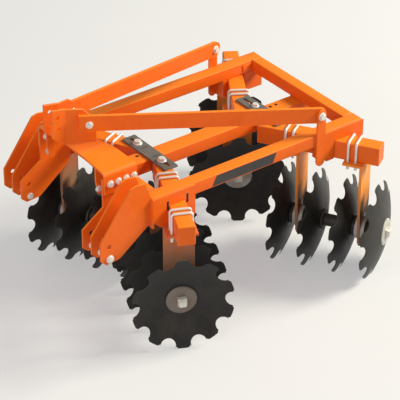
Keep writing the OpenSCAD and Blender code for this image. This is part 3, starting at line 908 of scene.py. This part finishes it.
class HARROW_OT_hubs(bpy.types.Operator):
    """End washers, square nuts and tips of the axles"""
    bl_idname = "harrow.hubs"
    bl_label = "Axle ends"

    def execute(self, context):
        for gang in GANGS:
            hub = gang_row(gang)["hub"]
            axis = gang_frame(gang)[1] * hub
            last = DISCS - 1
            full_k = 0 if hub > 0 else last
            full = on_gang(gang, (hub * DISH_H - full_k * DISC_GAP, 0, 0))
            hollow = on_gang(gang, (hub * (DISH_H - DISC_T) - (last - full_k) * DISC_GAP, 0, 0))
            washers = []
            nuts = []
            # Radius and thickness of the washer, top of the nut and tip of the axle
            for place, way, reach, base, top, tip in ((full, axis, 84, 10, 28, 34),
                                                      (hollow, -axis, 90, 16, 48, 61)):
                washer = [(0, reach, 0), (base - 5, reach, 0), (base - 1, reach - 5, 0),
                          (base, reach - 16, 0), (base, 20, 0)]
                nut = [(base, 36, 1), (top - 5, 36, 1), (top, 27, 0.2), (top, 20, 0)]
                end = [(top - 8, 27, 1), (tip - 2, 27, 1), (tip, 24, 1), (tip, 4, 0)]
                washers.append(turned(place, way, washer, 0, 56))
                nuts.append(turned(place, way, nut, 4, 40))
                nuts.append(turned(place, way, end, 4, 32))
            # Painted light and shade: rear end washers get the lighter housing steel, front ones the darker
            # washer steel.
            steel = "washer_steel" if gang.startswith("front") else "housing_steel"
            add_piece(gang + "_end_washers", washers, steel, (gang + "_ends",), gang + "_gang")
            add_piece(gang + "_axle_nuts", nuts, "nut_steel", (), gang + "_gang")
        return {"FINISHED"}


class HARROW_OT_u_bolts(bpy.types.Operator):
    """Bent U-bolts with their nuts under the hangers"""
    bl_idname = "harrow.u_bolts"
    bl_label = "U-bolts"

    def execute(self, context):
        bend = sizes().u_bend / MM
        top = DECK + U_CLEAR - DISC_R
        below = BEAM_LOW - DISC_R
        turn = np.linspace(0, math.pi / 2, 7)
        leg = np.linspace(below - U_TAIL, top - bend, 4)[:-1]
        rise = np.stack([np.full(len(leg), U_REACH), leg], -1)
        corner = np.stack([U_REACH - bend + bend * np.cos(turn), top - bend + bend * np.sin(turn)], -1)
        half = np.concatenate([rise, corner])
        path = np.concatenate([half, half[::-1] * np.array([-1, 1])])
        for gang in GANGS:
            row = gang_row(gang)
            axis = gang_frame(gang)[1]
            rods = []
            nuts = []
            for gap in HANGER_GAPS:
                for off in row["u_bolts"]:
                    at = row["hanger"] - gap * DISC_GAP + off
                    line = np.concatenate([np.full((len(path), 1), at), path], -1)
                    rods.append(surface(rod_grid(on_gang(gang, line), axis, U_ROD_R * MM, 14)))
                    for side in (-1, 1):
                        place = on_gang(gang, (at, side * U_REACH, below - HANGER_PLATE))
                        nuts.extend(bolt_shapes(place, -UP, U_NUT_ACROSS))
            add_piece(gang + "_u_rods", rods, "bright_plating", (gang + "_u_bolts",))
            add_piece(gang + "_u_nuts", nuts, "bright_plating")
        return {"FINISHED"}


class HARROW_OT_bolts(bpy.types.Operator):
    """Bolts of the arch legs, stays, posts and angle plates"""
    bl_idname = "harrow.bolts"
    bl_label = "Frame bolts"

    def execute(self, context):
        across = sizes().bolt_across
        stay_bolt = STAY_START + ALONG_STAY * 128 + OFF_STAY * STAY_T + UP * 1288
        # Place in millimetres, axis and share of the usual width of a head
        left = []
        for y in np.linspace(-860, -703, 4):
            left += [((LEG_OUT, y, 1031), LEFT, 1.0), ((LEG_OUT - ARCH_T - STRAP_T, y, 1031), -LEFT, 1.0)]
        left += [(stay_bolt, OFF_STAY, 1.0),
                 (stay_bolt - OFF_STAY * (STAY_T + ARCH_T), -OFF_STAY, 1.0),
                 ((RAIL_OUT + STRAP_T, POST_Y, STAY_BOLT_Z), LEFT, 1.15),
                 ((RAIL_OUT - STAY_T, POST_Y, STAY_BOLT_Z), -OFF_STAY, 1.15),
                 ((LUG_OUT, -884, LEG_FOOT), LEFT, 0.9),
                 ((121, -360, ANGLE_PLATE_TOP), UP, 1.3),
                 ((62, 460, ANGLE_PLATE_TOP), UP, 1.1)]
        for name, flip in SIDES:
            shapes = []
            for place, axis, share in left:
                shapes.extend(bolt_shapes(world(place) * flip, axis * flip, across * share))
            add_piece(name + "_frame_bolts", shapes, "bright_plating")
        return {"FINISHED"}


class HARROW_OT_pins(bpy.types.Operator):
    """Heads and collars of the lower pins"""
    bl_idname = "harrow.pins"
    bl_label = "Pin heads"

    def execute(self, context):
        head = [(0, 24, 0), (7, 24, 0), (9, 22, 0), (9, 17, 0), (15, 17, 0), (17, 14, 0), (17.5, 4, 0)]
        collar = [(0, 20, 0), (7, 20, 0), (8.5, 18.5, 0), (8.5, 14.2, 0)]
        for name, flip in SIDES:
            shapes = []
            for x, way, rings in ((503, 1, head), (412, 1, collar), (324, 1, collar), (312, -1, collar)):
                shapes.append(turned(world((x, PIN_Y, PIN_Z)) * flip, LEFT * way * flip, rings, 0, 32))
            add_piece(name + "_pin_collars", shapes, "bright_plating")
        return {"FINISHED"}


class HARROW_OT_straps(bpy.types.Operator):
    """Grey straps under the angle plates, patch plates in the rear corners and housing bolts"""
    bl_idname = "harrow.straps"
    bl_label = "Straps and patches"

    def execute(self, context):
        straps = []
        strap_x = CENTRE_HALF + 4
        for y in (-357, 453):
            foot = world((strap_x, y, 792))
            head = world((strap_x, y, ANGLE_PLATE_TOP))
            straps.append(bar_grid(foot, head, BACK, 0.056, 0.008, 0.0025, 0.0015))
        patch_x = RAIL_IN - 2.5
        patch = bar_grid(world((patch_x, 650, 921)), world((patch_x, 736, 921)), LEFT, 0.006, 0.056, 0.002,
                         0.0015)
        for name, flip in SIDES:
            add_piece(name + "_angle_straps", [surface(grid * flip) for grid in straps], "angle_plate_paint")
            add_piece(name + "_corner_patch", [surface(patch * flip)], "frame_paint")
        for gang in GANGS:
            axis = gang_frame(gang)[1]
            shapes = []
            for gap in HANGER_GAPS:
                middle = gang_row(gang)["hanger"] - gap * DISC_GAP
                for way in (-1, 1):
                    for z in (HOUSING_BOLT_REACH, -HOUSING_BOLT_REACH):
                        place = on_gang(gang, (middle + HANGER_HALF * way, 0, z))
                        shapes.extend(bolt_shapes(place, axis * way, HOUSING_BOLT_ACROSS))
            add_piece(gang + "_housing_bolts", shapes, "bright_plating")
        return {"FINISHED"}


class HARROW_OT_bands(bpy.types.Operator):
    """Plain dark bands on the outer faces of the rails, and dark sheets as painted shade in the slots of the
    pockets and the tapped holes of the beam
    """
    bl_idname = "harrow.bands"
    bl_label = "Rail bands"

    def execute(self, context):
        outline = np.array([(-296.0, 894.0), (138.0, 894.0), (164.0, 956.0), (-264.0, 956.0)])
        grid = world(np.stack([upright(outline, x) for x in (RAIL_OUT - 0.5, RAIL_OUT + 0.5)]))
        for name, flip in SIDES:
            add_piece(name + "_rail_band", [surface(grid * flip)], "band_film")
        # Thin dark plates on the pocket plates stand in for the slots: painted shade.
        slots = []
        for y, z in ((-609, 890), (-475, 894)):
            slots.append(bar_grid(world((POCKET_OUT, y, z - 29)), world((POCKET_OUT, y, z + 29)), BACK, 0.014,
                                  0.001, 0.0004, 0.0003))
        shapes = [surface(grid * flip) for _, flip in SIDES for grid in slots]
        add_piece("pocket_slot_shade", shapes, "hole_shade")
        # Thin dark discs on the beam's top stand in for the tapped holes: painted shade.
        ring = [(-2, 11, 0), (0.3, 11, 0), (0.4, 10.5, 0)]
        spots = ((-19, -436), (-19, -394), (-17, 540), (-17, 582))
        shapes = [turned(world((x, y, DECK)), UP, ring) for x, y in spots]
        add_piece("beam_hole_shade", shapes, "hole_shade")
        return {"FINISHED"}


class HARROW_OT_welds(bpy.types.Operator):
    """Weld beads where the plates and tubes of the frame meet"""
    bl_idname = "harrow.welds"
    bl_label = "Weld beads"

    def execute(self, context):
        radius = sizes().bead_radius
        lines = []
        for y, on_top, on_beam in ((RAIL_FRONT + TUBE_DEEP, -699, -699), (RAIL_REAR - TUBE_DEEP, 728, 794)):
            lines += [((RAIL_IN, y, TUBE_TOP - 6), (RAIL_IN, y, DECK + 6)),
                      ((RAIL_IN, on_top, TUBE_TOP), (RAIL_IN, y, TUBE_TOP)),
                      ((CENTRE_HALF, y, DECK), (CENTRE_HALF, on_beam, DECK))]
        for first, last in ((-699, -426), (524, RAIL_REAR)):
            lines.append(((RAIL_OUT, first, TUBE_TOP - 6), (RAIL_OUT, last, TUBE_TOP - 6)))
        lines.append(((RAIL_OUT, -420, TUBE_TOP - 6), (RAIL_OUT, -420, DECK + 6)))
        for x in (503, 491):
            lines.append(((x, RAIL_FRONT, DECK + 5), (x, RAIL_FRONT, TUBE_TOP - 4)))
        post_edge = POST_Y - POST_WIDTH / 2
        lines.append(((RAIL_OUT, post_edge, DECK + 6), (RAIL_OUT, post_edge, TUBE_TOP - 2)))
        lines.append(((48, -946, 1177), (97, -790, 1173)))
        for name, flip in SIDES:
            shapes = [surface(bead_grid(world(a) * flip, world(b) * flip, radius)) for a, b in lines]
            add_piece(name + "_weld_beads", shapes, "weld_paint", smooth=60.0)
        return {"FINISHED"}


class HARROW_OT_studio(bpy.types.Operator):
    """Pale floor, soft lamps and the camera"""
    bl_idname = "harrow.studio"
    bl_label = "Studio"

    def execute(self, context):
        scene = context.scene
        studio = scene.harrow_studio
        self.floor()
        flat = math.cos(studio.elevation)
        back = np.array([math.sin(studio.azimuth) * flat, -math.cos(studio.azimuth) * flat,
                         math.sin(studio.elevation)])
        data = bpy.data.cameras.new("harrow_camera")
        data.sensor_width = 36.0
        data.lens = studio.lens
        data.clip_end = 200.0
        camera = link_object("harrow_camera", data)
        camera.location = np.array(studio.target) + back * studio.distance
        camera.rotation_euler = (math.pi / 2 - studio.elevation, 0.0, studio.azimuth)
        scene.camera = camera
        self.lamp("key", (4.6, 10.4, 8.8), 5.0, studio.key, (1.0, 0.97, 0.82))
        self.lamp("fill", (2.4, -5.6, 3.2), 4.0, studio.fill, (1.0, 0.93, 0.92))
        self.world_light(scene)
        scene.view_settings.view_transform = "Standard"
        return {"FINISHED"}

    def lamp(self, name, place, width, power, tint):
        """A square area lamp that looks at the middle of the harrow."""
        data = bpy.data.lights.new(name, "AREA")
        data.size = width
        data.energy = power
        data.color = tint
        lamp = link_object(name, data)
        lamp.location = place
        away = unit(np.array(place) - np.array([0.0, 0.0, 0.6]))
        lamp.rotation_euler = (math.acos(away[2]), 0.0, math.atan2(away[1], away[0]) + math.pi / 2)

    def floor(self):
        """A wide flat square, four points, under the harrow. It glows a little where the camera sees it,
        directly, in a reflection or through glass."""
        half = 40.0
        mesh = bpy.data.meshes.new("studio_floor")
        mesh.from_pydata([(-half, -half, 0), (half, -half, 0), (half, half, 0), (-half, half, 0)], [],
                         [(0, 1, 2, 3)])
        material, tree = new_material("studio_floor")
        rays = add_node(tree, "LightPath").outputs
        seen = rays["Is Camera Ray"]
        for other in ("Is Glossy Ray", "Is Transmission Ray"):
            seen = joined(tree, seen, rays[other], "MAXIMUM")
        pale = mix_colours(tree, object_noise(tree, 1.5, 3.0), (0.42, 0.42, 0.42), (0.44, 0.44, 0.44))
        set_shader(tree, {"Base Color": pale, "Roughness": 0.9, "Specular IOR Level": 0.1,
                          "Emission Color": (1.0, 1.0, 1.0), "Emission Strength": joined(tree, seen, 0.38)})
        mesh.materials.append(material)
        piece = link_object("studio_floor", mesh)

    def world_light(self, scene):
        """An even pale surround."""
        surround = bpy.data.worlds.new("studio_world")
        surround.use_nodes = True
        sockets = surround.node_tree.nodes["Background"].inputs
        sockets["Color"].default_value = (1.0, 0.95, 0.93, 1.0)
        sockets["Strength"].default_value = 0.32
        scene.world = surround


class HARROW_PT_panel(bpy.types.Panel):
    """Sizes, colours and steps of the dressing"""
    bl_idname = "HARROW_PT_panel"
    bl_label = "Disc harrow"
    bl_space_type = "VIEW_3D"
    bl_region_type = "UI"
    bl_category = "Harrow"

    def draw(self, context):
        layout = self.layout
        scene = context.scene
        for group in (scene.harrow_sizes, scene.harrow_colours, scene.harrow_studio):
            box = layout.box()
            for name in group.bl_rna.properties.keys():
                if name not in ("rna_type", "name"):
                    box.prop(group, name)
        for operator in OPERATORS:
            layout.operator(operator.bl_idname)


GROUPS = (HarrowSizes, HarrowColours, HarrowStudio)
OPERATORS = (HARROW_OT_finishes, HARROW_OT_tubes, HARROW_OT_arches, HARROW_OT_posts, HARROW_OT_beams,
             HARROW_OT_discs, HARROW_OT_hubs, HARROW_OT_u_bolts, HARROW_OT_bolts, HARROW_OT_pins,
             HARROW_OT_straps, HARROW_OT_bands, HARROW_OT_welds, HARROW_OT_studio)


def register():
    for cls in GROUPS + OPERATORS + (HARROW_PT_panel,):
        bpy.utils.register_class(cls)
    bpy.types.Scene.harrow_sizes = PointerProperty(type=HarrowSizes)
    bpy.types.Scene.harrow_colours = PointerProperty(type=HarrowColours)
    bpy.types.Scene.harrow_studio = PointerProperty(type=HarrowStudio)


def unregister():
    del bpy.types.Scene.harrow_sizes
    del bpy.types.Scene.harrow_colours
    del bpy.types.Scene.harrow_studio
    for cls in reversed(GROUPS + OPERATORS + (HARROW_PT_panel,)):
        bpy.utils.unregister_class(cls)


def main():
    register()
    for operator in OPERATORS:
        step = getattr(bpy.ops.harrow, operator.bl_idname.split(".")[1])
        step()


if __name__ == "__main__":
    main()
